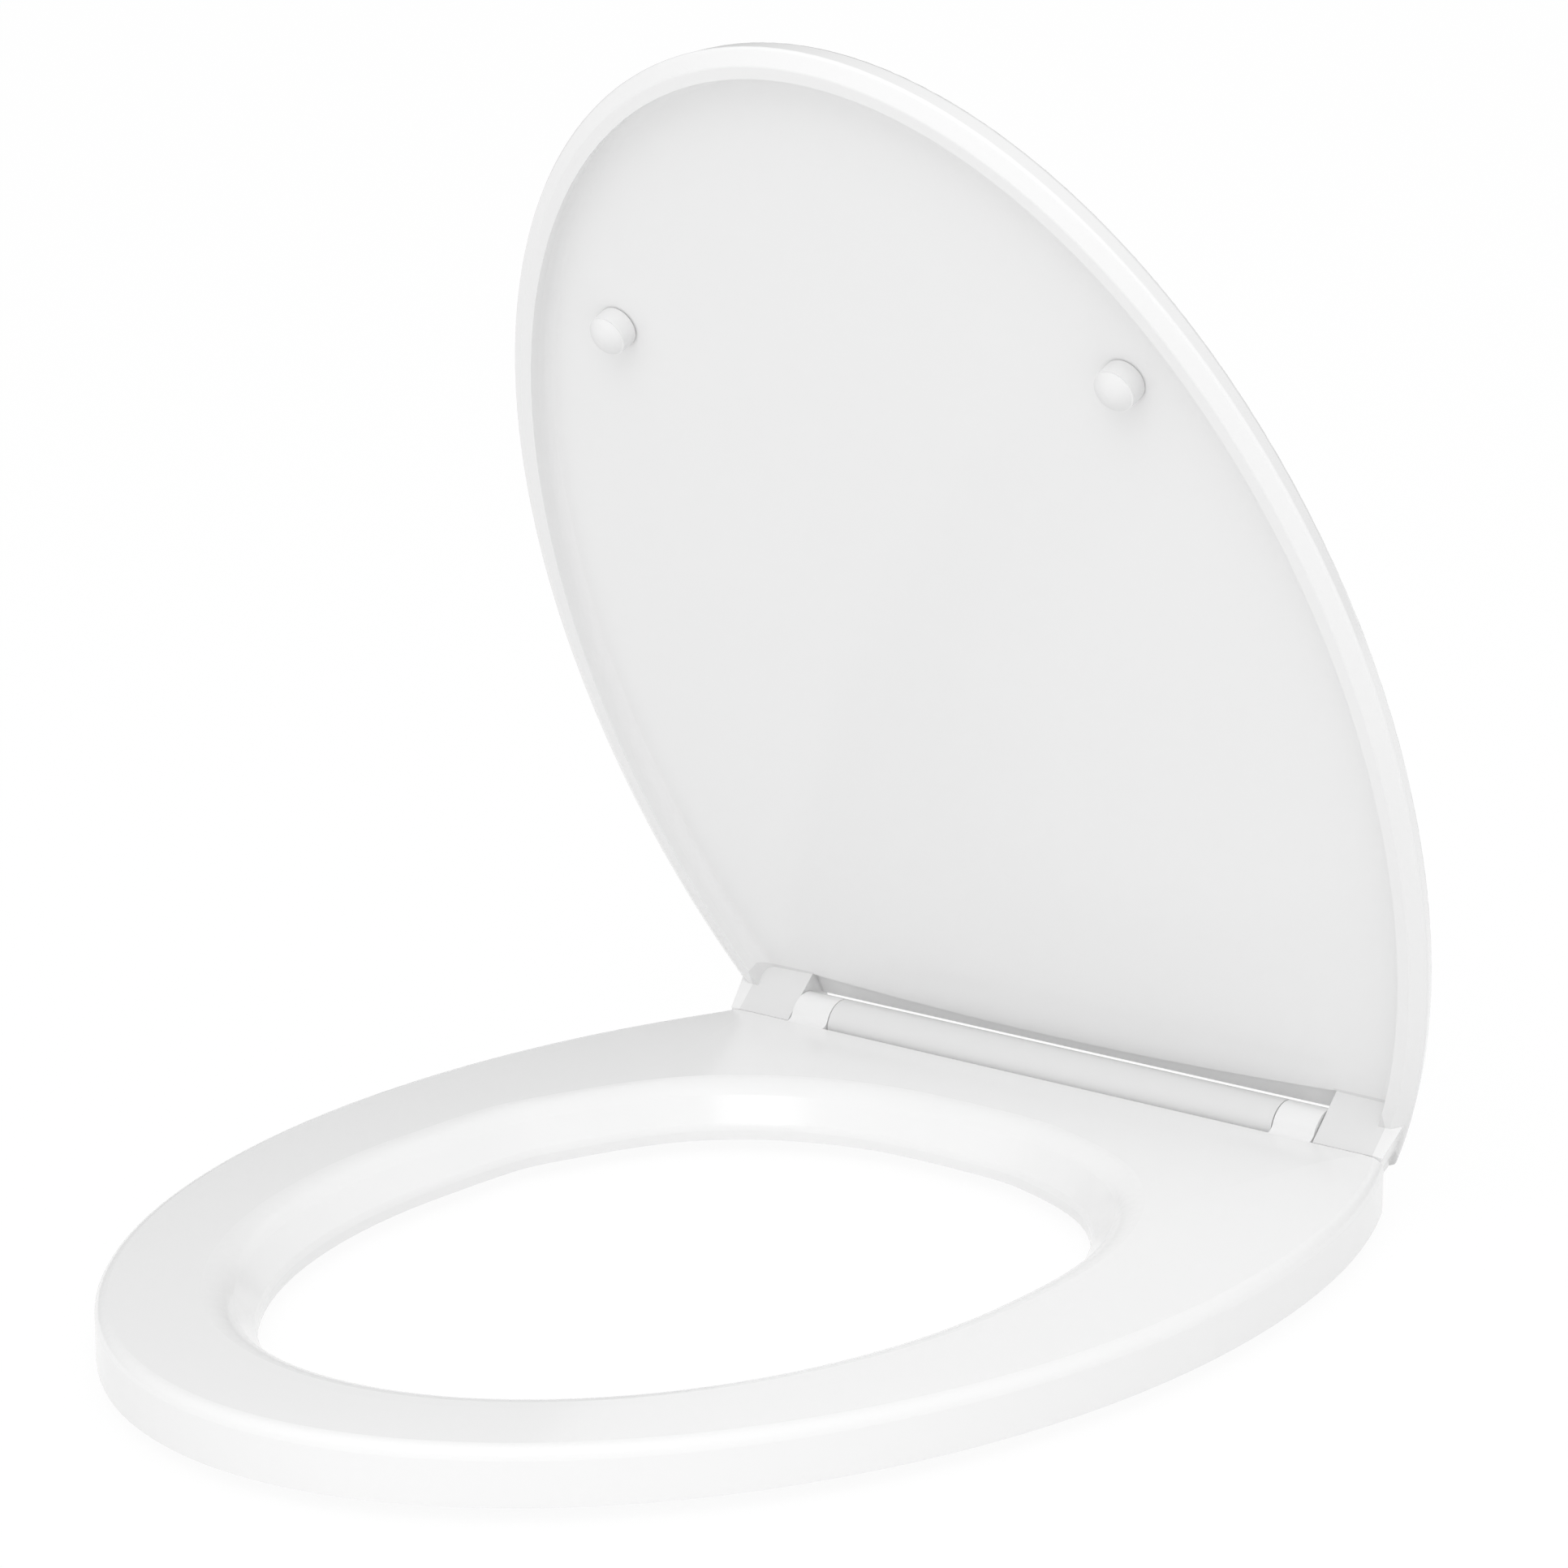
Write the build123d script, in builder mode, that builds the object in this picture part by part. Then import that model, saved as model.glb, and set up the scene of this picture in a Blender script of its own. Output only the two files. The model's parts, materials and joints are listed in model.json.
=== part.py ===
from build123d import *
import os
from math import acos, asin, atan2, cos, degrees, radians, sin, sqrt

# Toilet seat: ring, soft-closing lid and full-width hinge bar, with the lid part-way down.
# Millimetres, Z up, X along the hinge, front towards -Y.
# Origin: midway between the two fixing holes, on the pan.

# Hinge axis and the lid's pose
axis_y = 10.0
axis_z = 23.6
lid_angle = 65.04

# Plan outline shared by the ring and the lid: two half ellipses cut square behind
half_width = 182.0
front_reach = 262.0
rear_reach = 272.3
outline_y = -167.7
ring_rear = -12.0

# Ring heights above the pan
skirt_z = 5.0
edge_z = 23.55
deck_z = 24.4
ceiling_z = 20.0
skirt_wall = 4.0
edge_round = 4.2

# Crest of the ring: its middle from the hinge axis, its band inside the outline and its rear course
# (share of the outline's half width, share of the way from its middle to the rear edge)
crest_y = -215.0
crest_side = 44.5
crest_band = 30.0
crest_course = [(0.762, 0.16), (0.755, 0.31), (0.735, 0.45), (0.72, 0.58), (0.79, 0.75), (0.941, 1.0)]

# Seat opening: its middle from the hinge axis and its band inside the outline
hole_y = -211.2
hole_side = 64.3
hole_band = 52.9
hole_rear = 142.5
hole_power = 2.46
slope_width = 11.3
lip_z = 10.0
lip_wall = 3.5
crest_round = 13.0
lip_round = 4.0

# Lid, in its own frame about the hinge axis
lid_shift = 6.2
lid_grow = 1.0
lid_flare = 5.5
lid_lean = 4.2
lid_rear = -2.5
lid_tail = 13.5
lid_under = 1.2
rim_z = 1.1
rim_width = 4.5
rim_round = 1.0
flare_depth = 3.2
flare_round = 1.2
panel_top = 11.2
lid_top = 15.6
lid_round = 5.0
panel_round = 4.5
crown_sag = 2.5
crown_over = 19.0
crown_deep = 60.0
relief_y = -7.5
relief_z = 12.4

# Hinge barrel; the widths along it are measured in from the outline's half width
bar_r = 9.8
hinge_side = 62.5
ear_gap = 0.6
ear_long = 17.4
bar_gap = 0.5
ear_fillet = 4.0
ear_root = -44.0
ear_sink = 2.0
lug_long = 32.5
lug_grow = -0.9
lug_r = 11.2
lug_flat = 8.4
lug_y = -12.9
lug_z = 10.9
lug_back = 1.0
lug_under = 3.5
lug_bulge = (8.9, 8.1)
rib_y = -42.5
rib_thick = 3.0
rib_z = 9.0

# Buffers
lid_buffer_side = 74.1
lid_buffer_y = -307.1
lid_buffer_r = 7.65
lid_buffer_base = 10.0
lid_buffer_ring = 3.0
lid_dome = 3.0
lid_ledge = 0.5
lid_stem_r = 2.6
lid_stem = 2.6
seat_buffer_r = 10.0
seat_buffer_edge = 0.8
seat_stem_r = 4.0
seat_stem = 6.0
front_buffer_side = 69.0
front_buffer_y = -330.0
rear_buffer_side = 45.0
rear_buffer_y = -110.0
boss_r = 7.5

# Dampers inside the bar
damper_inset = 2.3
damper_long = 56.0
damper_r = 7.35
damper_base = 4.0
bore_r = 7.4
bore_over = 3.7
cavity_r = 5.6
cap_long = 4.0
drum_base = 6.0
drum_head = 8.0
drum_r = 5.0
neck_r = 4.0
flat_half = 2.9
spigot_r = 3.5
shaft_long = 13.9
seal_head = 6.0
seal_r = 4.8
seal_thick = 1.3
seal_wide = 1.6
bush_r = 6.8
bush_key = 5.8
lug_bore_long = 14.9

# Fixing feet
fix_inset = 23.5
fix_hole_r = 3.3
pad_thick = 1.5
pad_r = 13.0
flange_r = 14.0
flange_top = 5.0
foot_spigot_r = 5.5
foot_top = 13.2
post_half = 13.0
post_z = 5.2
post_front = -8.0
post_rear = 7.0
post_knee = 13.0
post_top = (1.5, 20.0)
post_back = 17.0

# Clearances
run = 0.05
seat_fit = 0.05
end_gap = 0.3

# Widths along the hinge
lug_in = half_width - hinge_side
lug_out = lug_in + lug_long
lug_bore = lug_in + lug_bore_long
shaft_out = lug_in + shaft_long
ear_out = lug_in - ear_gap
ear_in = ear_out - ear_long
bar_half = ear_in - bar_gap
damper_out = bar_half - damper_inset
damper_in = damper_out - damper_long
bore_depth = bar_half - damper_in + bore_over
cavity_in = damper_in + damper_base
drum_in = damper_in + drum_base
drum_out = damper_out - drum_head
seal_x = damper_out - seal_head
fix_spacing = 2 * (bar_half - fix_inset)

# Places that follow the outline
hole_half = half_width - hole_side
hole_front = hole_y - outline_y + front_reach - hole_band
crest_half = half_width - crest_side
crest_front = crest_y - outline_y + front_reach - crest_band
crown_half = half_width + crown_over
crown_long = front_reach + rear_reach
lid_buffer_x = half_width - lid_buffer_side
buffer_spots = [
    (front_buffer_side - half_width, axis_y + front_buffer_y),
    (half_width - front_buffer_side, axis_y + front_buffer_y),
    (rear_buffer_side - half_width, axis_y + rear_buffer_y),
    (half_width - rear_buffer_side, axis_y + rear_buffer_y),
]
post_points = [
    (post_front, post_z),
    (post_front, post_knee),
    post_top,
    (post_rear, post_back),
    (post_rear, post_z),
]
lid_turn = radians(lid_angle)
ring_y = axis_y + outline_y
lid_plane = Plane(
    origin=(0, axis_y, axis_z),
    x_dir=(1, 0, 0),
    z_dir=(0, sin(lid_turn), cos(lid_turn)),
)
lid_y = outline_y + lid_shift


def lid_side(x):
    """Plane across the hinge at x, turning with the lid."""
    spot = lid_plane.from_local_coords(Vector(x, 0, 0))
    return Plane(origin=spot, x_dir=lid_plane.y_dir, z_dir=lid_plane.x_dir)


def lid_height(edge):
    """Height of an edge's middle above the hinge axis, square to the lid."""
    return lid_plane.to_local_coords(edge @ 0.5).Z


def seat_side(x):
    """Plane across the hinge at x, level with the seat."""
    return Plane(origin=(x, axis_y, axis_z), x_dir=(0, 1, 0), z_dir=(1, 0, 0))


def d_outline(grow, mid, rear):
    """Plan outline grown by a margin, cut square at rear."""
    across = half_width + grow
    back = rear_reach + grow
    cut = degrees(asin((rear - mid) / back))
    with BuildLine() as line:
        right = EllipticalCenterArc((0, mid), across, back, 0, arc_size=cut)
        rear_line = right @ 1
        left = EllipticalCenterArc((0, mid), across, back, 180 - cut, arc_size=cut)
        Line(rear_line, left @ 0)
        EllipticalCenterArc((0, mid), across, front_reach + grow, 180, arc_size=180)
    make_face(line.edges())


def crest_outline(share):
    """Ring section between the outer outline (0) and the crest (1)."""
    keep = 1 - share
    across = keep * half_width + share * crest_half
    mid = axis_y + keep * outline_y + share * crest_y
    front = keep * front_reach + share * crest_front
    cut = asin((ring_rear - outline_y) / rear_reach)
    pts = [(across, mid)]
    for i, (wide, along) in enumerate(crest_course):
        turn = cut * (i + 1) / len(crest_course)
        ox = half_width * cos(turn)
        oy = outline_y + rear_reach * sin(turn)
        px = keep * ox + share * wide * ox
        py = keep * oy + share * (crest_y + along * (ring_rear - crest_y))
        pts.append((px, axis_y + py))
    mirrored = [(-px, py) for px, py in reversed(pts)]
    with BuildLine() as line:
        Spline(*pts, tangents=[(0, 1), (0.5, 1)])
        Line(pts[-1], mirrored[0])
        Spline(*mirrored, tangents=[(0.5, -1), (0, -1)])
        EllipticalCenterArc((0, mid), across, front, 180, arc_size=180)
    make_face(line.edges())


def hole_outline(grow):
    """Seat opening grown by a margin: half ellipse in front, squarer curve behind."""
    across = hole_half + grow
    mid = axis_y + hole_y
    back = hole_rear + grow
    pts = [(across, mid)]
    for turn in (20, 40, 60, 75):
        px = across * cos(radians(turn)) ** (2 / hole_power)
        py = mid + back * sin(radians(turn)) ** (2 / hole_power)
        pts.append((px, py))
    pts.append((0, mid + back))
    mirrored = [(-px, py) for px, py in reversed(pts)]
    with BuildLine() as line:
        Spline(*pts, tangents=[(0, 1), (-1, 0)])
        Spline(*mirrored, tangents=[(-1, 0), (0, -1)])
        EllipticalCenterArc((0, mid), across, hole_front + grow, 180, arc_size=180)
    make_face(line.edges())


def crown(top, mode):
    """Clip the lid with a surface crowned from side to side, its highest line at top."""
    start = lid_plane.from_local_coords(Vector(0, 2 * lid_tail, top))
    with BuildSketch(Plane(origin=start, x_dir=lid_plane.x_dir, z_dir=lid_plane.y_dir * -1)) as profile:
        with BuildLine():
            arc = ThreePointArc((-crown_half, -crown_sag), (0, 0), (crown_half, -crown_sag))
            Polyline(arc @ 1, (crown_half, -crown_deep), (-crown_half, -crown_deep), arc @ 0)
        make_face()
    extrude(profile.sketch.faces(), amount=crown_long, mode=mode)


def ear_profile():
    """Side view of a seat ear: barrel, hollow blend to the deck and root under it."""
    deck = deck_z - axis_z
    low = deck - ear_sink
    mid = -sqrt((bar_r + ear_fillet) ** 2 - (deck + ear_fillet) ** 2)
    turn = degrees(atan2(deck + ear_fillet, mid))
    with BuildLine() as line:
        CenterArc((mid, deck + ear_fillet), ear_fillet, 270, turn - 90)
        CenterArc((0, 0), bar_r, turn, -90 - turn)
        Polyline((0, -bar_r), (ear_root, -bar_r), (ear_root, low), (mid, low), (mid, deck))
    make_face(line.edges())


def lug_profile():
    """Side view of a lid lug: barrel, flat sloping front and rounded back."""
    far = sqrt(lug_y**2 + lug_z**2)
    touch = atan2(lug_z, lug_y) + acos(lug_flat / far) + acos(lug_flat / lug_r)
    foot = (lug_r * cos(touch), lug_r * sin(touch))
    high = lid_top - lug_under
    with BuildLine() as line:
        Polyline(foot, (lug_y, lug_z), (lug_y, high), (lug_back, high))
        ThreePointArc((lug_back, high), lug_bulge, (lug_r, 0))
        CenterArc((0, 0), lug_r, 0, degrees(touch) - 360)
    make_face(line.edges())


def buffer_profile():
    """Half section of a lid buffer, drawn from the tip up to the stem."""
    dome_r = lid_buffer_r - lid_ledge
    tip = lid_buffer_ring - lid_dome
    sink = (dome_r**2 - lid_dome**2) / (2 * lid_dome)
    half = (dome_r**2 + lid_dome**2) / (2 * lid_dome)
    part_way = lid_buffer_ring + sink - sqrt(half**2 - (dome_r / 2) ** 2)
    with BuildLine() as line:
        Polyline(
            (lid_buffer_y, tip),
            (lid_buffer_y, lid_buffer_base + lid_stem),
            (lid_buffer_y + lid_stem_r, lid_buffer_base + lid_stem),
            (lid_buffer_y + lid_stem_r, lid_buffer_base),
            (lid_buffer_y + lid_buffer_r, lid_buffer_base),
            (lid_buffer_y + lid_buffer_r, lid_buffer_ring),
            (lid_buffer_y + dome_r, lid_buffer_ring),
        )
        ThreePointArc(
            (lid_buffer_y + dome_r, lid_buffer_ring),
            (lid_buffer_y + dome_r / 2, part_way),
            (lid_buffer_y, tip),
        )
    make_face(line.edges())


def stem_profile():
    """Half section of the hole for a lid buffer's stem."""
    deep = lid_buffer_base + lid_stem + end_gap
    with Locations((lid_buffer_y, rim_z)):
        Rectangle(lid_stem_r + seat_fit, deep - rim_z, align=Align.MIN)


def buffer_axis(x):
    """Axis of a lid buffer, square to the lid."""
    return Axis(lid_plane.from_local_coords(Vector(x, lid_buffer_y, 0)), lid_plane.z_dir)


def double_flat(radius, half):
    """Round bar with two flats."""
    Circle(radius)
    Rectangle(4 * radius, 2 * half, mode=Mode.INTERSECT)


def double_flat_hole():
    """Hole for a shaft with two flats, cut from the sketch in hand."""
    with BuildSketch(mode=Mode.PRIVATE) as flats:
        Circle(neck_r + run)
        Rectangle(4 * neck_r, 2 * (flat_half + run), mode=Mode.INTERSECT)
    add(flats.sketch, mode=Mode.SUBTRACT)


# Hollow under the ring, between the skirt and the lip of the opening
with BuildPart() as hollow:
    with BuildSketch(Plane.XY):
        d_outline(-skirt_wall, ring_y, axis_y + ring_rear + 8)
    extrude(amount=ceiling_z)
    with BuildSketch(Plane.XY.offset(-1)):
        hole_outline(lip_wall)
    extrude(amount=lip_z, mode=Mode.SUBTRACT)
    with BuildSketch(Plane.XY.offset(lip_z - 1)):
        hole_outline(lip_wall)
    with BuildSketch(Plane.XY.offset(ceiling_z + 1)):
        hole_outline(slope_width + 2)
    loft(mode=Mode.SUBTRACT)

# Seat ring
with BuildPart() as seat_ring:
    with BuildSketch(Plane.XY.offset(skirt_z)):
        d_outline(0, ring_y, axis_y + ring_rear)
    extrude(amount=edge_z - skirt_z)
    with BuildSketch(Plane.XY.offset(edge_z)):
        d_outline(0, ring_y, axis_y + ring_rear)
    with BuildSketch(Plane.XY.offset(edge_z + 0.8 * (deck_z - edge_z))):
        crest_outline(0.62)
    with BuildSketch(Plane.XY.offset(deck_z)):
        crest_outline(1)
    loft()
    rim = seat_ring.edges().filter_by(lambda e: abs(e.center().Z - edge_z) < 0.01)
    fillet(rim.filter_by(GeomType.LINE, reverse=True), edge_round)
    with BuildSketch(Plane.XY.offset(lip_z)):
        hole_outline(0)
    with BuildSketch(Plane.XY.offset(deck_z + 1)):
        hole_outline(slope_width * (deck_z + 1 - lip_z) / (deck_z - lip_z))
    loft(mode=Mode.SUBTRACT)
    with BuildSketch(Plane.XY):
        hole_outline(0)
    extrude(amount=lip_z, mode=Mode.SUBTRACT)
    crest = seat_ring.edges().filter_by(lambda e: abs(e.center().Z - deck_z) < 0.01)
    inside = (axis_y - 60, axis_y + hole_y - hole_front - slope_width - 2)
    crest = crest.filter_by_position(Axis.Y, inside[1], inside[0]).filter_by_position(Axis.X, -1, 1)
    fillet(crest, crest_round)
    lip = seat_ring.edges().filter_by(lambda e: abs(e.center().Z - lip_z) < 0.01)
    fillet(lip, lip_round)
    add(hollow.part, mode=Mode.SUBTRACT)
    with BuildSketch(seat_side(ear_in)):
        ear_profile()
    extrude(amount=ear_out - ear_in)
    with BuildSketch(seat_side(-ear_out)):
        ear_profile()
    extrude(amount=ear_out - ear_in)
    with BuildSketch(Plane.XZ.offset(-(axis_y + rib_y))):
        with Locations((0, (ceiling_z + rib_z) / 2 + 0.5)):
            Rectangle(2 * ear_in + 2, ceiling_z - rib_z + 1)
    extrude(amount=rib_thick / 2, both=True)
    with BuildSketch(Plane.XY.offset(skirt_z)):
        with Locations(*buffer_spots):
            Circle(boss_r)
    extrude(amount=ceiling_z - skirt_z + 1)
    with BuildSketch(Plane.XY.offset(skirt_z)):
        with Locations(*buffer_spots):
            Circle(seat_stem_r + seat_fit)
    extrude(amount=seat_stem + end_gap, mode=Mode.SUBTRACT)
    with BuildSketch(seat_side(-ear_out)):
        double_flat(bush_r + seat_fit, bush_key + seat_fit)
    extrude(amount=ear_out - ear_in, mode=Mode.SUBTRACT)
    with BuildSketch(seat_side(ear_in)):
        Circle(bush_r + seat_fit)
    extrude(amount=ear_out - ear_in, mode=Mode.SUBTRACT)
seat_ring.part.label = "seat_ring"

# Lid lugs, both sides, full height
with BuildPart() as lugs:
    with BuildSketch(lid_side(lug_in)):
        lug_profile()
    extrude(amount=lug_out - lug_in)
    with BuildSketch(lid_side(-lug_out)):
        lug_profile()
    extrude(amount=lug_out - lug_in)
    with BuildSketch(lid_plane.offset(-lug_r - 1)):
        d_outline(lug_grow, lid_y, lid_tail)
    extrude(amount=lug_r + 1 + rim_z + flare_depth, mode=Mode.INTERSECT)

# Hollow of the lid, open at the hinge
with BuildPart() as pocket:
    with BuildSketch(lid_plane.offset(rim_z - 1)):
        d_outline(lid_grow - lid_flare - rim_width, lid_y, lid_tail + 6)
    extrude(amount=lid_top)
    crown(panel_top, Mode.INTERSECT)
    roof = pocket.faces().sort_by(lambda f: lid_plane.to_local_coords(f.center()).Z)[-1]
    fillet(roof.edges().filter_by(GeomType.LINE, reverse=True), panel_round)
    with BuildSketch(lid_side(lug_in)):
        lug_profile()
    extrude(amount=lug_out - lug_in, mode=Mode.SUBTRACT)
    with BuildSketch(lid_side(-lug_out)):
        lug_profile()
    extrude(amount=lug_out - lug_in, mode=Mode.SUBTRACT)

# Lid: the rim flares out to the edge and the back leans in from there
with BuildPart() as lid:
    with BuildSketch(lid_plane.offset(rim_z)):
        d_outline(lid_grow - lid_flare, lid_y, lid_tail)
    with BuildSketch(lid_plane.offset(rim_z + flare_depth)):
        d_outline(lid_grow, lid_y, lid_tail)
    loft()
    with BuildSketch(lid_plane.offset(rim_z + flare_depth)):
        d_outline(lid_grow, lid_y, lid_tail)
    with BuildSketch(lid_plane.offset(lid_top + 1)):
        d_outline(lid_grow - lid_lean, lid_y, lid_tail)
    loft()
    crown(lid_top, Mode.INTERSECT)
    roof = lid.faces().sort_by(lambda f: lid_plane.to_local_coords(f.center()).Z)[-1]
    fillet(roof.edges().filter_by(GeomType.LINE, reverse=True), lid_round)
    curved = lid.edges().filter_by(GeomType.LINE, reverse=True)
    fillet(curved.filter_by(lambda e: abs(lid_height(e) - rim_z - flare_depth) < 0.1), flare_round)
    curved = lid.edges().filter_by(GeomType.LINE, reverse=True)
    fillet(curved.filter_by(lambda e: abs(lid_height(e) - rim_z) < 0.1), rim_round)
    with BuildSketch(lid_side(-lug_out)):
        with BuildLine():
            back = ThreePointArc((lug_back, lid_top - lid_under), lug_bulge, (lug_r, 0))
            far_y = 2 * lug_r
            high = 2 * lid_top
            Polyline(back @ 1, (far_y, 0), (far_y, high), (lug_back, high), back @ 0)
        make_face()
    extrude(amount=2 * lug_out, mode=Mode.SUBTRACT)
    add(pocket.part, mode=Mode.SUBTRACT)
    with BuildSketch(lid_plane.offset(-1)):
        with Locations((0, lid_rear + bar_r)):
            Rectangle(2 * lug_in, 2 * bar_r)
    extrude(amount=2 * lid_top, mode=Mode.SUBTRACT)
    add(lugs.part)
    with BuildSketch(lid_plane.offset(rim_z)):
        with BuildLine():
            front = ThreePointArc((-lug_in, lug_y), (0, relief_y), (lug_in, lug_y))
            Polyline(front @ 1, (lug_in, bar_r), (-lug_in, bar_r), front @ 0)
        make_face()
    extrude(amount=relief_z - rim_z, mode=Mode.SUBTRACT)
    with BuildSketch(lid_side(-lid_buffer_x)):
        stem_profile()
    revolve(axis=buffer_axis(-lid_buffer_x), mode=Mode.SUBTRACT)
    with BuildSketch(lid_side(lid_buffer_x)):
        stem_profile()
    revolve(axis=buffer_axis(lid_buffer_x), mode=Mode.SUBTRACT)
    with BuildSketch(lid_side(lug_in)):
        double_flat(bush_r + seat_fit, bush_key + seat_fit)
    extrude(amount=lug_bore - lug_in, mode=Mode.SUBTRACT)
    with BuildSketch(lid_side(-lug_bore)):
        Circle(bush_r + seat_fit)
    extrude(amount=lug_bore - lug_in, mode=Mode.SUBTRACT)
lid.part.label = "lid"


# Lid buffers: a short stem in the panel, a round body, a small ledge and a domed tip
with BuildPart() as lid_buffer_left:
    with BuildSketch(lid_side(-lid_buffer_x)):
        buffer_profile()
    revolve(axis=buffer_axis(-lid_buffer_x))
lid_buffer_left.part.label = "lid_buffer_left"

with BuildPart() as lid_buffer_right:
    with BuildSketch(lid_side(lid_buffer_x)):
        buffer_profile()
    revolve(axis=buffer_axis(lid_buffer_x))
lid_buffer_right.part.label = "lid_buffer_right"

# Hinge bar: a round beam with a bore at each end and a post over each fixing foot
with BuildPart() as hinge_bar:
    with BuildSketch(seat_side(-bar_half)):
        Circle(bar_r)
    extrude(amount=2 * bar_half)
    with BuildSketch(Plane.YZ.offset(-fix_spacing / 2 - post_half)):
        with BuildLine():
            Polyline(*post_points, close=True)
        make_face()
    extrude(amount=2 * post_half)
    with BuildSketch(Plane.YZ.offset(fix_spacing / 2 - post_half)):
        with BuildLine():
            Polyline(*post_points, close=True)
        make_face()
    extrude(amount=2 * post_half)
    with BuildSketch(seat_side(bar_half - bore_depth)):
        Circle(bore_r)
    extrude(amount=bore_depth, mode=Mode.SUBTRACT)
    with BuildSketch(seat_side(-bar_half)):
        Circle(bore_r)
    extrude(amount=bore_depth, mode=Mode.SUBTRACT)
    with BuildSketch(Plane.XY.offset(post_z)):
        with Locations((-fix_spacing / 2, 0), (fix_spacing / 2, 0)):
            Circle(foot_spigot_r + seat_fit)
    extrude(amount=foot_top - post_z + end_gap, mode=Mode.SUBTRACT)
hinge_bar.part.label = "hinge_bar"


# Seat buffers: flat-footed rubber pads with a stem in the ring's bosses
with BuildPart() as seat_buffer_front_left:
    with BuildSketch(Plane.XY):
        with Locations(buffer_spots[0]):
            Circle(seat_buffer_r)
    extrude(amount=skirt_z)
    chamfer(seat_buffer_front_left.edges(), seat_buffer_edge)
    with BuildSketch(Plane.XY.offset(skirt_z)):
        with Locations(buffer_spots[0]):
            Circle(seat_stem_r)
    extrude(amount=seat_stem)
seat_buffer_front_left.part.label = "seat_buffer_front_left"

with BuildPart() as seat_buffer_front_right:
    with BuildSketch(Plane.XY):
        with Locations(buffer_spots[1]):
            Circle(seat_buffer_r)
    extrude(amount=skirt_z)
    chamfer(seat_buffer_front_right.edges(), seat_buffer_edge)
    with BuildSketch(Plane.XY.offset(skirt_z)):
        with Locations(buffer_spots[1]):
            Circle(seat_stem_r)
    extrude(amount=seat_stem)
seat_buffer_front_right.part.label = "seat_buffer_front_right"

with BuildPart() as seat_buffer_rear_left:
    with BuildSketch(Plane.XY):
        with Locations(buffer_spots[2]):
            Circle(seat_buffer_r)
    extrude(amount=skirt_z)
    chamfer(seat_buffer_rear_left.edges(), seat_buffer_edge)
    with BuildSketch(Plane.XY.offset(skirt_z)):
        with Locations(buffer_spots[2]):
            Circle(seat_stem_r)
    extrude(amount=seat_stem)
seat_buffer_rear_left.part.label = "seat_buffer_rear_left"

with BuildPart() as seat_buffer_rear_right:
    with BuildSketch(Plane.XY):
        with Locations(buffer_spots[3]):
            Circle(seat_buffer_r)
    extrude(amount=skirt_z)
    chamfer(seat_buffer_rear_right.edges(), seat_buffer_edge)
    with BuildSketch(Plane.XY.offset(skirt_z)):
        with Locations(buffer_spots[3]):
            Circle(seat_stem_r)
    extrude(amount=seat_stem)
seat_buffer_rear_right.part.label = "seat_buffer_rear_right"

# Seat damper in the left end of the bar: body, rotor, end cap and seal
with BuildPart() as seat_damper_body:
    with BuildSketch(seat_side(-damper_out)):
        Circle(damper_r)
    extrude(amount=damper_out - damper_in)
    with BuildSketch(seat_side(-damper_out)):
        Circle(cavity_r)
    extrude(amount=damper_out - cavity_in, mode=Mode.SUBTRACT)
seat_damper_body.part.label = "seat_damper_body"

with BuildPart() as seat_damper_rotor:
    with BuildSketch(seat_side(-drum_out)):
        Circle(drum_r)
    extrude(amount=drum_out - drum_in)
    with BuildSketch(seat_side(-ear_in)):
        Circle(neck_r)
    extrude(amount=ear_in - drum_out)
    with BuildSketch(seat_side(-ear_out)):
        double_flat(neck_r, flat_half)
    extrude(amount=ear_out - ear_in)
    with BuildSketch(seat_side(-shaft_out)):
        Circle(spigot_r)
    extrude(amount=shaft_out - ear_out)
seat_damper_rotor.part.label = "seat_damper_rotor"

with BuildPart() as seat_damper_cap:
    with BuildSketch(seat_side(-damper_out)):
        Circle(cavity_r - seat_fit)
        Circle(neck_r + run, mode=Mode.SUBTRACT)
    extrude(amount=cap_long)
seat_damper_cap.part.label = "seat_damper_cap"

with BuildPart() as seat_damper_seal:
    with BuildSketch(Plane(origin=(-seal_x, axis_y, axis_z), x_dir=(1, 0, 0), z_dir=(0, -1, 0))):
        with Locations((0, seal_r)):
            Rectangle(seal_wide, seal_thick)
    revolve(axis=Axis((-seal_x, axis_y, axis_z), (1, 0, 0)))
seat_damper_seal.part.label = "seat_damper_seal"

# Lid damper in the right end of the bar; its rotor turns with the lid
with BuildPart() as lid_damper_body:
    with BuildSketch(seat_side(damper_in)):
        Circle(damper_r)
    extrude(amount=damper_out - damper_in)
    with BuildSketch(seat_side(cavity_in)):
        Circle(cavity_r)
    extrude(amount=damper_out - cavity_in, mode=Mode.SUBTRACT)
lid_damper_body.part.label = "lid_damper_body"

with BuildPart() as lid_damper_rotor:
    with BuildSketch(lid_side(drum_in)):
        Circle(drum_r)
    extrude(amount=drum_out - drum_in)
    with BuildSketch(lid_side(drum_out)):
        Circle(neck_r)
    extrude(amount=lug_in - drum_out)
    with BuildSketch(lid_side(lug_in)):
        double_flat(neck_r, flat_half)
    extrude(amount=shaft_out - lug_in)
lid_damper_rotor.part.label = "lid_damper_rotor"

with BuildPart() as lid_damper_cap:
    with BuildSketch(seat_side(damper_out - cap_long)):
        Circle(cavity_r - seat_fit)
        Circle(neck_r + run, mode=Mode.SUBTRACT)
    extrude(amount=cap_long)
lid_damper_cap.part.label = "lid_damper_cap"

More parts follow.
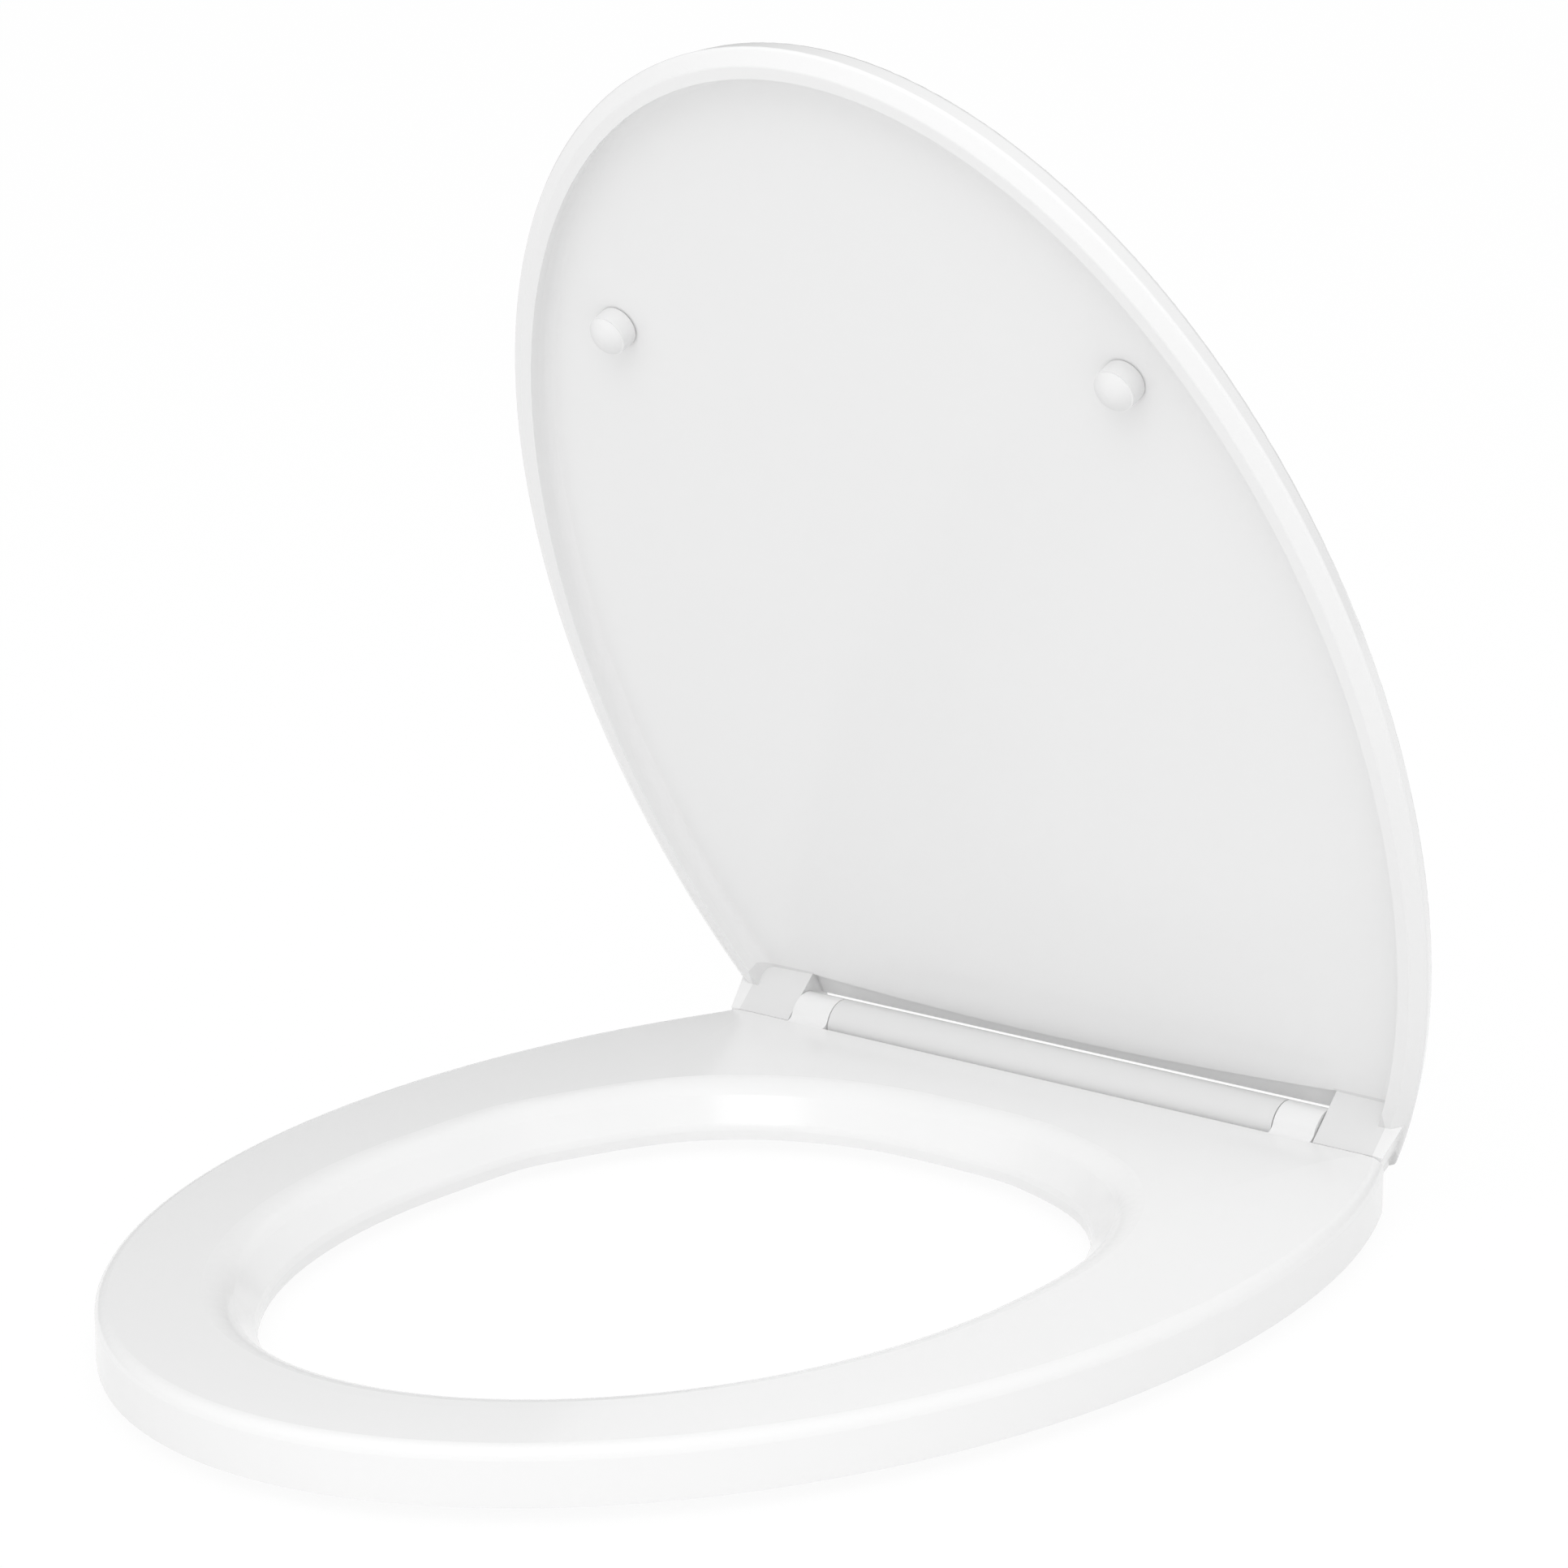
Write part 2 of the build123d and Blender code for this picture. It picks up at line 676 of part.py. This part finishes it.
with BuildPart() as lid_damper_seal:
    with BuildSketch(Plane(origin=(seal_x, axis_y, axis_z), x_dir=(1, 0, 0), z_dir=(0, -1, 0))):
        with Locations((0, seal_r)):
            Rectangle(seal_wide, seal_thick)
    revolve(axis=Axis((seal_x, axis_y, axis_z), (1, 0, 0)))
lid_damper_seal.part.label = "lid_damper_seal"

# Bushes: the keyed ones are driven by a rotor's flats, the round ones turn on a shaft
with BuildPart() as seat_drive_bush:
    with BuildSketch(seat_side(-ear_out)):
        double_flat(bush_r, bush_key)
        double_flat_hole()
    extrude(amount=ear_out - ear_in)
seat_drive_bush.part.label = "seat_drive_bush"

with BuildPart() as seat_idle_bush:
    with BuildSketch(seat_side(ear_in)):
        Circle(bush_r)
        Circle(neck_r + run, mode=Mode.SUBTRACT)
    extrude(amount=ear_out - ear_in)
seat_idle_bush.part.label = "seat_idle_bush"

with BuildPart() as lid_drive_bush:
    with BuildSketch(lid_side(lug_in)):
        double_flat(bush_r, bush_key)
        double_flat_hole()
    extrude(amount=lug_bore - end_gap - lug_in)
lid_drive_bush.part.label = "lid_drive_bush"

with BuildPart() as lid_idle_bush:
    with BuildSketch(lid_side(end_gap - lug_bore)):
        Circle(bush_r)
        Circle(spigot_r + run, mode=Mode.SUBTRACT)
    extrude(amount=lug_bore - end_gap - lug_in)
lid_idle_bush.part.label = "lid_idle_bush"

# Fixing feet: flange on the pan, spigot up into the bar's post, hole for the stud; rubber pad below
with BuildPart() as mounting_foot_left:
    with BuildSketch(Plane.XY.offset(pad_thick)):
        with Locations((-fix_spacing / 2, 0)):
            Circle(flange_r)
    extrude(amount=flange_top - pad_thick)
    with BuildSketch(Plane.XY.offset(flange_top)):
        with Locations((-fix_spacing / 2, 0)):
            Circle(foot_spigot_r)
    extrude(amount=foot_top - flange_top)
    with BuildSketch(Plane.XY.offset(pad_thick)):
        with Locations((-fix_spacing / 2, 0)):
            Circle(fix_hole_r)
    extrude(amount=foot_top - pad_thick, mode=Mode.SUBTRACT)
mounting_foot_left.part.label = "mounting_foot_left"

with BuildPart() as foot_pad_left:
    with BuildSketch(Plane.XY):
        with Locations((-fix_spacing / 2, 0)):
            Circle(pad_r)
            Circle(fix_hole_r, mode=Mode.SUBTRACT)
    extrude(amount=pad_thick)
foot_pad_left.part.label = "foot_pad_left"

with BuildPart() as mounting_foot_right:
    with BuildSketch(Plane.XY.offset(pad_thick)):
        with Locations((fix_spacing / 2, 0)):
            Circle(flange_r)
    extrude(amount=flange_top - pad_thick)
    with BuildSketch(Plane.XY.offset(flange_top)):
        with Locations((fix_spacing / 2, 0)):
            Circle(foot_spigot_r)
    extrude(amount=foot_top - flange_top)
    with BuildSketch(Plane.XY.offset(pad_thick)):
        with Locations((fix_spacing / 2, 0)):
            Circle(fix_hole_r)
    extrude(amount=foot_top - pad_thick, mode=Mode.SUBTRACT)
mounting_foot_right.part.label = "mounting_foot_right"

with BuildPart() as foot_pad_right:
    with BuildSketch(Plane.XY):
        with Locations((fix_spacing / 2, 0)):
            Circle(pad_r)
            Circle(fix_hole_r, mode=Mode.SUBTRACT)
    extrude(amount=pad_thick)
foot_pad_right.part.label = "foot_pad_right"

os.makedirs("parts", exist_ok=True)
export_step(seat_ring.part, "parts/seat_ring.step")
export_step(lid.part, "parts/lid.step")
export_step(lid_buffer_left.part, "parts/lid_buffer_left.step")
export_step(lid_buffer_right.part, "parts/lid_buffer_right.step")
export_step(hinge_bar.part, "parts/hinge_bar.step")
export_step(seat_buffer_front_left.part, "parts/seat_buffer_front_left.step")
export_step(seat_buffer_front_right.part, "parts/seat_buffer_front_right.step")
export_step(seat_buffer_rear_left.part, "parts/seat_buffer_rear_left.step")
export_step(seat_buffer_rear_right.part, "parts/seat_buffer_rear_right.step")
export_step(seat_damper_body.part, "parts/seat_damper_body.step")
export_step(seat_damper_rotor.part, "parts/seat_damper_rotor.step")
export_step(seat_damper_cap.part, "parts/seat_damper_cap.step")
export_step(seat_damper_seal.part, "parts/seat_damper_seal.step")
export_step(lid_damper_body.part, "parts/lid_damper_body.step")
export_step(lid_damper_rotor.part, "parts/lid_damper_rotor.step")
export_step(lid_damper_cap.part, "parts/lid_damper_cap.step")
export_step(lid_damper_seal.part, "parts/lid_damper_seal.step")
export_step(seat_drive_bush.part, "parts/seat_drive_bush.step")
export_step(seat_idle_bush.part, "parts/seat_idle_bush.step")
export_step(lid_drive_bush.part, "parts/lid_drive_bush.step")
export_step(lid_idle_bush.part, "parts/lid_idle_bush.step")
export_step(mounting_foot_left.part, "parts/mounting_foot_left.step")
export_step(mounting_foot_right.part, "parts/mounting_foot_right.step")
export_step(foot_pad_left.part, "parts/foot_pad_left.step")
export_step(foot_pad_right.part, "parts/foot_pad_right.step")
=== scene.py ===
"""Toilet seat with its lid part-way down: looks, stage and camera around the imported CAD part."""

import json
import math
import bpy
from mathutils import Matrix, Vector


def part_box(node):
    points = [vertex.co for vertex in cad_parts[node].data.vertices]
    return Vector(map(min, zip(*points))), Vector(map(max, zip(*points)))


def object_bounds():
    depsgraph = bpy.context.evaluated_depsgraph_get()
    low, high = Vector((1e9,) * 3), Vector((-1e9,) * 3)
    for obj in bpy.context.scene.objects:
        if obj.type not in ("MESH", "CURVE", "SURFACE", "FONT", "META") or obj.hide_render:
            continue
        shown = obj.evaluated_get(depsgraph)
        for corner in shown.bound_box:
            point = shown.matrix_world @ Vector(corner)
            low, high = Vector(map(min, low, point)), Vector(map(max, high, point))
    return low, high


bl_info = {
    "name": "Toilet seat",
    "version": (1, 0, 0),
    "blender": (4, 5, 0),
    "location": "3D View > Sidebar > Toilet seat",
    "description": "Dresses the toilet seat's solids and sets up its studio",
    "category": "Object",
}

from collections import namedtuple

import bpy
from mathutils import Vector

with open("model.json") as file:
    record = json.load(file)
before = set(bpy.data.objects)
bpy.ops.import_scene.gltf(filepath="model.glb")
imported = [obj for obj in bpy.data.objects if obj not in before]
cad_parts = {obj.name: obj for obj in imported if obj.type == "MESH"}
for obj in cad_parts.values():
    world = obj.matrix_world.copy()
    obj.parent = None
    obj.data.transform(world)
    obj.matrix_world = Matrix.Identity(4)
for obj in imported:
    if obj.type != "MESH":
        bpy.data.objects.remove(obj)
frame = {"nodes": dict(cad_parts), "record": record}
CAD_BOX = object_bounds()

RING_NODES = ["seat_ring"]
LID_NODES = ["lid"]
BAR_NODES = ["hinge_bar"]
LID_BUFFERS = ["lid_buffer_left", "lid_buffer_right"]
SEAT_BUFFERS = [
    "seat_buffer_front_left",
    "seat_buffer_front_right",
    "seat_buffer_rear_left",
    "seat_buffer_rear_right",
]
DAMPER_SHELLS = ["seat_damper_body", "seat_damper_cap", "lid_damper_body", "lid_damper_cap"]
DAMPER_ROTORS = ["seat_damper_rotor", "lid_damper_rotor"]
DAMPER_SEALS = ["seat_damper_seal", "lid_damper_seal"]
BUSHES = ["seat_drive_bush", "seat_idle_bush", "lid_drive_bush", "lid_idle_bush"]
FEET = ["mounting_foot_left", "mounting_foot_right"]
FOOT_PADS = ["foot_pad_left", "foot_pad_right"]

# Lid's hinge lugs, where a grey goes that is partly painted shade, in metres: inner end, width along
# the hinge and reach from its axis
HINGE = next(j for j in frame["record"]["behaviour"]["joints"] if j["name"] == "lid_hinge")
AXIS_SPOT = Vector(HINGE["pos_m"])
LUG_IN = min(abs(corner.x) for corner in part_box("lid_drive_bush"))
LUG_MARGIN = 0.001
LUG_WIDE = 0.0245
LUG_REACH = 0.0172

# Finish of a material: mottle, scale and relief shape its faint grain
Finish = namedtuple("Finish", "colour roughness mottle scale relief metallic", defaults=(0.0,))
STEEL = Finish(
    colour=(0.6, 0.6, 0.6), roughness=0.35, mottle=0.06, scale=900, relief=0.15, metallic=1.0)
PAD_RUBBER = Finish(colour=(0.8, 0.8, 0.8), roughness=0.7, mottle=0.05, scale=1500, relief=0.4)
SHELL_PLASTIC = Finish(colour=(0.72, 0.72, 0.7), roughness=0.5, mottle=0.05, scale=1200, relief=0.3)
ROTOR_PLASTIC = Finish(colour=(0.2, 0.2, 0.21), roughness=0.45, mottle=0.08, scale=1200, relief=0.3)
SEAL_RUBBER = Finish(colour=(0.05, 0.05, 0.05), roughness=0.55, mottle=0.1, scale=1800, relief=0.2)
BUSH_PLASTIC = Finish(colour=(0.82, 0.82, 0.79), roughness=0.45, mottle=0.05, scale=1200, relief=0.3)

# Grain of every material: broad clouds of tone, and a fine relief in metres
CLOUD_SCALE = 9.0
CLOUD_DETAIL = 3.0
FINE_DETAIL = 4.0
RELIEF_DEPTH = 0.0002

# Surround: its direction to the window, and where between shade and window it is full
WINDOW_SIDE = (0.7, -0.714, 0)
SHADE_AT = -1.0
FULL_AT = 0.3

# Soft lamp and floor, in metres
KEY_PLACE = (0.75, -1.55, 1.9)
KEY_AIM = (0, -0.15, 0.15)
KEY_SIZE = 1.8
FLOOR_SIZE = 24
FLOOR_DROP = 0.0005
FLOOR_WHITE = (0.9, 0.9, 0.9, 1)
FLOOR_GLOW = 1.015
GLOW_SHARE = 0.93

SENSOR_WIDE = 36


class SeatLook(bpy.types.PropertyGroup):
    """Colours and finishes of the pieces."""

    white: bpy.props.FloatVectorProperty(
        name="White", description="Colour of the moulded white plastic",
        default=(0.9, 0.9, 0.9), size=3, min=0, max=1, subtype="COLOR")
    gloss: bpy.props.FloatProperty(
        name="Gloss roughness", description="Roughness of the polished plastic",
        default=0.16, min=0, max=1)
    # Grey of the hinge bar's plastic; on the lid's lugs the same grey is partly painted shade
    hinge_grey_and_lug_shade: bpy.props.FloatVectorProperty(
        name="Hinge grey", description="Colour of the hinge's slightly greyer plastic",
        default=(0.8, 0.8, 0.8), size=3, min=0, max=1, subtype="COLOR")
    rubber: bpy.props.FloatVectorProperty(
        name="Rubber", description="Colour of the white rubber buffers",
        default=(0.87, 0.87, 0.87), size=3, min=0, max=1, subtype="COLOR")


class SeatStage(bpy.types.PropertyGroup):
    """Camera and light of the studio."""

    azimuth: bpy.props.FloatProperty(
        name="Azimuth", description="Camera's turn from straight in front towards the right",
        default=math.radians(39.077), unit="ROTATION")
    elevation: bpy.props.FloatProperty(
        name="Elevation", description="Camera's height angle above the seat",
        default=math.radians(13.452), unit="ROTATION")
    distance: bpy.props.FloatProperty(
        name="Distance", description="Camera's distance from its target",
        default=1.4848, unit="LENGTH")
    target: bpy.props.FloatVectorProperty(
        name="Target", description="Point that the camera looks at",
        default=(-0.03657, -0.10574, 0.15056), size=3, unit="LENGTH")
    focal: bpy.props.FloatProperty(
        name="Focal length", description="Lens for a 36 mm wide sensor, in millimetres",
        default=97.125)
    key_power: bpy.props.FloatProperty(
        name="Key power", description="Power of the large soft lamp, in watts",
        default=14.0)
    sky: bpy.props.FloatProperty(
        name="Sky level", description="Strength of the surround on the window side",
        default=0.93)
    shade: bpy.props.FloatProperty(
        name="Shade level", description="Strength of the surround straight opposite the window",
        default=0.47)


def link(tree, source, target):
    """Join two sockets of a node tree."""
    tree.links.new(source, target)


def math_node(tree, operation, *values):
    """Output of a math node whose inputs are sockets or plain numbers."""
    node = tree.nodes.new("ShaderNodeMath")
    node.operation = operation
    for socket, value in zip(node.inputs, values):
        if isinstance(value, bpy.types.NodeSocket):
            link(tree, value, socket)
        else:
            socket.default_value = value
    return node.outputs[0]


def grain_group():
    """Node group: faint mottling of a colour, its roughness and its surface."""
    name = "Moulding grain"
    if name in bpy.data.node_groups:
        return bpy.data.node_groups[name]
    tree = bpy.data.node_groups.new(name, "ShaderNodeTree")
    face = tree.interface
    face.new_socket("Colour", in_out="INPUT", socket_type="NodeSocketColor")
    for label in ("Roughness", "Mottle", "Scale", "Relief"):
        face.new_socket(label, in_out="INPUT", socket_type="NodeSocketFloat")
    face.new_socket("Colour", in_out="OUTPUT", socket_type="NodeSocketColor")
    face.new_socket("Roughness", in_out="OUTPUT", socket_type="NodeSocketFloat")
    face.new_socket("Normal", in_out="OUTPUT", socket_type="NodeSocketVector")
    nodes = tree.nodes
    given = nodes.new("NodeGroupInput").outputs
    result = nodes.new("NodeGroupOutput").inputs
    place = nodes.new("ShaderNodeTexCoord")
    cloud = nodes.new("ShaderNodeTexNoise")
    cloud.inputs["Scale"].default_value = CLOUD_SCALE
    cloud.inputs["Detail"].default_value = CLOUD_DETAIL
    link(tree, place.outputs["Object"], cloud.inputs["Vector"])
    centred = math_node(tree, "SUBTRACT", cloud.outputs["Fac"], 0.5)
    amount = math_node(tree, "MULTIPLY", centred, given["Mottle"])
    tint = nodes.new("ShaderNodeVectorMath")
    tint.operation = "SCALE"
    link(tree, given["Colour"], tint.inputs[0])
    link(tree, math_node(tree, "ADD", amount, 1.0), tint.inputs["Scale"])
    link(tree, tint.outputs[0], result["Colour"])
    link(tree, math_node(tree, "ADD", given["Roughness"], amount), result["Roughness"])
    fine = nodes.new("ShaderNodeTexNoise")
    fine.inputs["Detail"].default_value = FINE_DETAIL
    link(tree, place.outputs["Object"], fine.inputs["Vector"])
    link(tree, given["Scale"], fine.inputs["Scale"])
    bump = nodes.new("ShaderNodeBump")
    bump.inputs["Distance"].default_value = RELIEF_DEPTH
    link(tree, given["Relief"], bump.inputs["Strength"])
    link(tree, fine.outputs["Fac"], bump.inputs["Height"])
    link(tree, bump.outputs["Normal"], result["Normal"])
    return tree


def moulded(name, finish):
    """Principled material whose colour, roughness and normal come from the grain group."""
    mat = bpy.data.materials.new(name)
    mat.use_nodes = True
    tree = mat.node_tree
    shader = tree.nodes["Principled BSDF"]
    shader.inputs["Metallic"].default_value = finish.metallic
    grain = tree.nodes.new("ShaderNodeGroup")
    grain.name = "Grain"
    grain.node_tree = grain_group()
    grain.inputs["Colour"].default_value = (*finish.colour, 1)
    grain.inputs["Roughness"].default_value = finish.roughness
    grain.inputs["Mottle"].default_value = finish.mottle
    grain.inputs["Scale"].default_value = finish.scale
    grain.inputs["Relief"].default_value = finish.relief
    link(tree, grain.outputs["Colour"], shader.inputs["Base Color"])
    link(tree, grain.outputs["Roughness"], shader.inputs["Roughness"])
    link(tree, grain.outputs["Normal"], shader.inputs["Normal"])
    return mat


def polished(name, colour):
    """Polished moulded plastic of the given colour."""
    gloss = bpy.context.scene.seat_look.gloss
    return moulded(name, Finish(colour, gloss, mottle=0.015, scale=420, relief=0.02))


def dress(names, mat):
    """Give CAD nodes one material."""
    for name in names:
        node = frame["nodes"][name]
        node.data.materials.clear()
        node.data.materials.append(mat)


def lug_shade_mask(tree):
    """Mask of the painted shade on the lid's two hinge lugs: near the hinge axis, between the ears
    and the rim.
    """
    place = tree.nodes.new("ShaderNodeTexCoord")
    apart = tree.nodes.new("ShaderNodeSeparateXYZ")
    link(tree, place.outputs["Object"], apart.inputs[0])
    flat = tree.nodes.new("ShaderNodeCombineXYZ")
    link(tree, apart.outputs["Y"], flat.inputs["Y"])
    link(tree, apart.outputs["Z"], flat.inputs["Z"])
    far = tree.nodes.new("ShaderNodeVectorMath")
    far.operation = "DISTANCE"
    far.inputs[1].default_value = (0, AXIS_SPOT.y, AXIS_SPOT.z)
    link(tree, flat.outputs[0], far.inputs[0])
    across = math_node(tree, "ABSOLUTE", apart.outputs["X"])
    past_ear = math_node(tree, "GREATER_THAN", across, LUG_IN - LUG_MARGIN)
    inside_rim = math_node(tree, "LESS_THAN", across, LUG_IN + LUG_WIDE)
    near_axis = math_node(tree, "LESS_THAN", far.outputs["Value"], LUG_REACH)
    between = math_node(tree, "MULTIPLY", past_ear, inside_rim)
    return math_node(tree, "MULTIPLY", between, near_axis)


def lid_gloss_and_lug_shade(look):
    """The lid's white gloss, with a grey on its lugs that is partly painted shade and partly the
    hinge's greyer plastic.
    """
    mat = polished("Lid gloss plastic", look.white)
    tree = mat.node_tree
    # Grey on the lugs: partly painted shade, partly the hinge plastic's tone
    tone = tree.nodes.new("ShaderNodeMix")
    tone.data_type = "RGBA"
    tone.inputs["A"].default_value = (*look.white, 1)
    tone.inputs["B"].default_value = (*look.hinge_grey_and_lug_shade, 1)
    link(tree, lug_shade_mask(tree), tone.inputs["Factor"])
    link(tree, tone.outputs["Result"], tree.nodes["Grain"].inputs["Colour"])
    return mat


class DressRing(bpy.types.Operator):
    """White gloss for the seat ring"""

    bl_idname = "object.seat_dress_ring"
    bl_label = "Seat ring"

    def execute(self, context):
        dress(RING_NODES, polished("White gloss plastic", context.scene.seat_look.white))
        return {"FINISHED"}


class DressLid(bpy.types.Operator):
    """White gloss for the lid, greyer on its hinge lugs as partly painted shade"""

    bl_idname = "object.seat_dress_lid"
    bl_label = "Lid"

    def execute(self, context):
        dress(LID_NODES, lid_gloss_and_lug_shade(context.scene.seat_look))
        return {"FINISHED"}


class DressHinge(bpy.types.Operator):
    """Slightly grey gloss for the hinge bar, steel and rubber for its feet"""

    bl_idname = "object.seat_dress_hinge"
    bl_label = "Hinge bar and feet"

    def execute(self, context):
        dress(BAR_NODES, polished("Hinge plastic", context.scene.seat_look.hinge_grey_and_lug_shade))
        dress(FEET, moulded("Satin steel", STEEL))
        dress(FOOT_PADS, moulded("Pale rubber pad", PAD_RUBBER))
        return {"FINISHED"}


class DressBuffers(bpy.types.Operator):
    """White rubber for the buffers under the lid and the ring"""

    bl_idname = "object.seat_dress_buffers"
    bl_label = "Buffers"

    def execute(self, context):
        colour = context.scene.seat_look.rubber
        rubber = Finish(colour, roughness=0.38, mottle=0.03, scale=1400, relief=0.12)
        dress(LID_BUFFERS + SEAT_BUFFERS, moulded("White buffer rubber", rubber))
        return {"FINISHED"}


class DressDampers(bpy.types.Operator):
    """Plain plastics and black rubber for the dampers and bushes inside the hinge"""

    bl_idname = "object.seat_dress_dampers"
    bl_label = "Dampers and bushes"

    def execute(self, context):
        dress(DAMPER_SHELLS, moulded("Damper shell", SHELL_PLASTIC))
        dress(DAMPER_ROTORS, moulded("Damper rotor", ROTOR_PLASTIC))
        dress(DAMPER_SEALS, moulded("Seal rubber", SEAL_RUBBER))
        dress(BUSHES, moulded("Bush plastic", BUSH_PLASTIC))
        return {"FINISHED"}


def backdrop_material():
    """White floor: plain white to the camera and in reflections, with a faint shadow."""
    mat = bpy.data.materials.new("Studio floor")
    mat.use_nodes = True
    tree = mat.node_tree
    tree.nodes.remove(tree.nodes["Principled BSDF"])
    matte = tree.nodes.new("ShaderNodeBsdfDiffuse")
    matte.inputs["Color"].default_value = FLOOR_WHITE
    glow = tree.nodes.new("ShaderNodeEmission")
    glow.inputs["Strength"].default_value = FLOOR_GLOW
    rays = tree.nodes.new("ShaderNodeLightPath").outputs
    seen = math_node(tree, "MAXIMUM", rays["Is Camera Ray"], rays["Is Glossy Ray"])
    mix = tree.nodes.new("ShaderNodeMixShader")
    link(tree, math_node(tree, "MULTIPLY", seen, GLOW_SHARE), mix.inputs["Fac"])
    link(tree, matte.outputs[0], mix.inputs[1])
    link(tree, glow.outputs[0], mix.inputs[2])
    link(tree, mix.outputs[0], tree.nodes["Material Output"].inputs["Surface"])
    return mat


def sky_world(level, shade):
    """Soft surround, brighter on the window side, plain white where it is seen directly."""
    world = bpy.data.worlds.new("Studio sky")
    world.use_nodes = True
    tree = world.node_tree
    back = tree.nodes["Background"]
    back.inputs["Color"].default_value = (1, 1, 1, 1)
    place = tree.nodes.new("ShaderNodeTexCoord")
    side = tree.nodes.new("ShaderNodeVectorMath")
    side.operation = "DOT_PRODUCT"
    side.inputs[1].default_value = WINDOW_SIDE
    link(tree, place.outputs["Generated"], side.inputs[0])
    glow = tree.nodes.new("ShaderNodeMapRange")
    glow.interpolation_type = "SMOOTHSTEP"
    glow.inputs["From Min"].default_value = SHADE_AT
    glow.inputs["From Max"].default_value = FULL_AT
    glow.inputs["To Min"].default_value = shade
    glow.inputs["To Max"].default_value = level
    link(tree, side.outputs["Value"], glow.inputs["Value"])
    rays = tree.nodes.new("ShaderNodeLightPath")
    pick = tree.nodes.new("ShaderNodeMapRange")
    pick.inputs["To Max"].default_value = 1.0
    link(tree, glow.outputs["Result"], pick.inputs["To Min"])
    link(tree, rays.outputs["Is Camera Ray"], pick.inputs["Value"])
    link(tree, pick.outputs["Result"], back.inputs["Strength"])
    bpy.context.scene.world = world


class SetStage(bpy.types.Operator):
    """White floor, soft light and the photograph's camera"""

    bl_idname = "object.seat_set_stage"
    bl_label = "Stage"

    def execute(self, context):
        stage = context.scene.seat_stage
        bpy.ops.object.select_all(action="DESELECT")
        floor_z = CAD_BOX[0].z - FLOOR_DROP
        bpy.ops.mesh.primitive_plane_add(size=FLOOR_SIZE, location=(0, 0, floor_z))
        floor = context.object
        floor.name = "studio_floor"
        bpy.ops.object.transform_apply(location=True)
        floor.data.materials.append(backdrop_material())
        sky_world(stage.sky, stage.shade)
        bpy.ops.object.light_add(type="AREA", location=KEY_PLACE)
        key = context.object
        key.name = "key_lamp"
        key.data.shape = "DISK"
        key.data.size = KEY_SIZE
        key.data.energy = stage.key_power
        aim = Vector(KEY_AIM) - key.location
        key.rotation_euler = aim.to_track_quat("-Z", "Y").to_euler()
        turn, lift = stage.azimuth, stage.elevation
        level = math.cos(lift)
        look = Vector((-math.sin(turn) * level, math.cos(turn) * level, -math.sin(lift)))
        bpy.ops.object.camera_add(location=Vector(stage.target) - look * stage.distance)
        camera = context.object
        camera.name = "photo_camera"
        camera.rotation_euler = look.to_track_quat("-Z", "Y").to_euler()
        camera.data.sensor_width = SENSOR_WIDE
        camera.data.lens = stage.focal
        context.scene.camera = camera
        context.scene.view_settings.view_transform = "Standard"
        return {"FINISHED"}


class SeatPanel(bpy.types.Panel):
    """Buttons and settings in the 3D view's sidebar"""

    bl_idname = "VIEW3D_PT_toilet_seat"
    bl_label = "Toilet seat"
    bl_space_type = "VIEW_3D"
    bl_region_type = "UI"
    bl_category = "Toilet seat"

    def draw(self, context):
        for step in STEPS:
            self.layout.operator(step.bl_idname)
        for group in (context.scene.seat_look, context.scene.seat_stage):
            for name in group.bl_rna.properties.keys():
                if name not in ("rna_type", "name"):
                    self.layout.prop(group, name)


STEPS = (DressRing, DressLid, DressHinge, DressBuffers, DressDampers, SetStage)
CLASSES = (SeatLook, SeatStage, *STEPS, SeatPanel)


def register():
    """Add the classes and the scene's settings."""
    for cls in CLASSES:
        bpy.utils.register_class(cls)
    bpy.types.Scene.seat_look = bpy.props.PointerProperty(type=SeatLook)
    bpy.types.Scene.seat_stage = bpy.props.PointerProperty(type=SeatStage)


def unregister():
    """Remove the settings and the classes."""
    del bpy.types.Scene.seat_stage
    del bpy.types.Scene.seat_look
    for cls in reversed(CLASSES):
        bpy.utils.unregister_class(cls)


def main():
    """Build the looks and the stage."""
    register()
    bpy.ops.object.seat_dress_ring()
    bpy.ops.object.seat_dress_lid()
    bpy.ops.object.seat_dress_hinge()
    bpy.ops.object.seat_dress_buffers()
    bpy.ops.object.seat_dress_dampers()
    bpy.ops.object.seat_set_stage()


if __name__ == "__main__":
    main()
